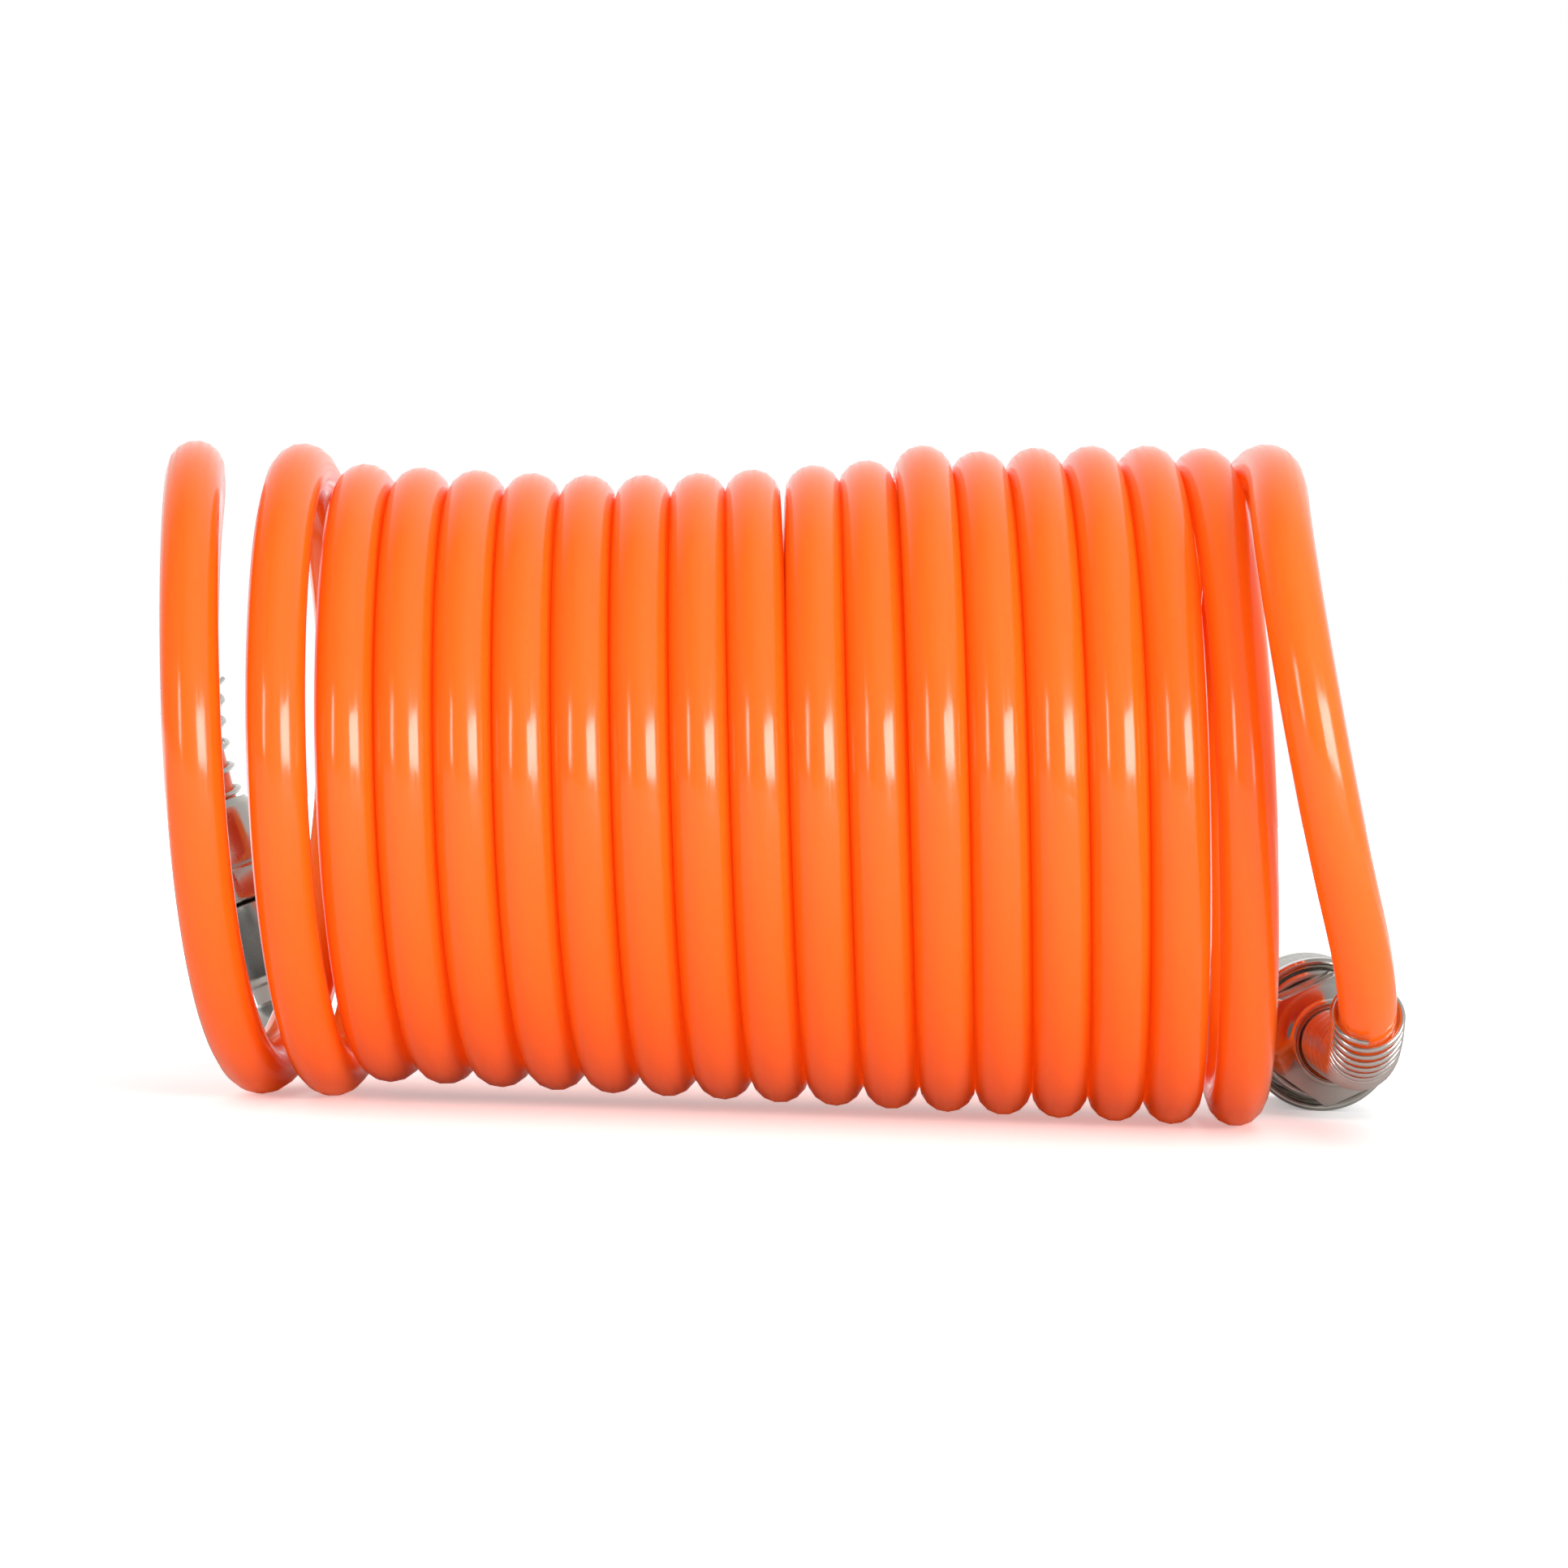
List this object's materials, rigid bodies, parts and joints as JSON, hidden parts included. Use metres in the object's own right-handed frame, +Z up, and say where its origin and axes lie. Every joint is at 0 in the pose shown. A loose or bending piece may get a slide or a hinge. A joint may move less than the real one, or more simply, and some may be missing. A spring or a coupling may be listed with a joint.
{
  "type": "coiled air hose",
  "caption": "Coiled plastic air hose lying on its side, with a sprung quick coupler at one end and a locking plug at the other, each on a wire guard.",
  "frame": {"origin": "on the floor, under the middle of the whole part's bounding box", "axes": "+X along the coil from the plug's end to the coupler's end, +Y away from the picture's viewer, along the coupler's axis towards its mouth, +Z up"},
  "size_m": [0.2042, 0.1318, 0.101],
  "materials": {
    "hose": "glossy orange polyurethane, slightly translucent",
    "guard_wire": "bright nickel-plated spring wire",
    "nickel": "bright nickel plate on turned metal",
    "steel": "plain bright steel",
    "brass": "turned brass",
    "seal": "matt black rubber"
  },
  "bodies": {
    "hose": {"hose_coil": "hose", "hose_coupler_tail": "hose", "hose_plug_tail": "hose", "coupler_guard_spring": "guard_wire", "plug_guard_spring": "guard_wire", "coupler_nut": "nickel", "coupler_adapter": "nickel", "coupler_body": "nickel", "plug_nut": "nickel", "plug_body": "nickel", "adapter_seal": "seal", "socket_seal": "seal", "sleeve_spring": "steel", "valve_spring": "steel", "sleeve_retaining_ring": "steel"},
    "sleeve": {"release_sleeve": "nickel", "sleeve_spring_washer": "steel"},
    "valve": {"valve_poppet": "brass", "valve_seal": "seal"},
    "ball_right": {"locking_ball_right": "steel"},
    "ball_bottom": {"locking_ball_bottom": "steel"},
    "ball_left": {"locking_ball_left": "steel"},
    "ball_top": {"locking_ball_top": "steel"}
  },
  "joints": [
    {"name": "sleeve_slide", "type": "slide", "parent": "hose", "child": "sleeve", "axis": [0, -1, 0], "range_m": [0, 0.004], "stiffness_N_per_m": 1000, "springref_m": -0.006, "deforming": ["sleeve_spring"]},
    {"name": "valve_slide", "type": "slide", "parent": "hose", "child": "valve", "axis": [0, -1, 0], "range_m": [0, 0.0045], "stiffness_N_per_m": 600, "springref_m": -0.004, "deforming": ["valve_spring"]},
    {"name": "ball_right_slide", "type": "slide", "parent": "hose", "child": "ball_right", "axis": [1, 0, 0], "range_m": [0, 0.00091]},
    {"name": "ball_bottom_slide", "type": "slide", "parent": "hose", "child": "ball_bottom", "axis": [0, 0, -1], "range_m": [0, 0.00091]},
    {"name": "ball_left_slide", "type": "slide", "parent": "hose", "child": "ball_left", "axis": [-1, 0, 0], "range_m": [0, 0.00091]},
    {"name": "ball_top_slide", "type": "slide", "parent": "hose", "child": "ball_top", "axis": [0, 0, 1], "range_m": [0, 0.00091]}
  ],
  "couplings": [
    {"joint": "ball_right_slide", "follows": "sleeve_slide", "ratio": 0.225},
    {"joint": "ball_bottom_slide", "follows": "sleeve_slide", "ratio": 0.225},
    {"joint": "ball_left_slide", "follows": "sleeve_slide", "ratio": 0.225},
    {"joint": "ball_top_slide", "follows": "sleeve_slide", "ratio": 0.225}
  ]
}
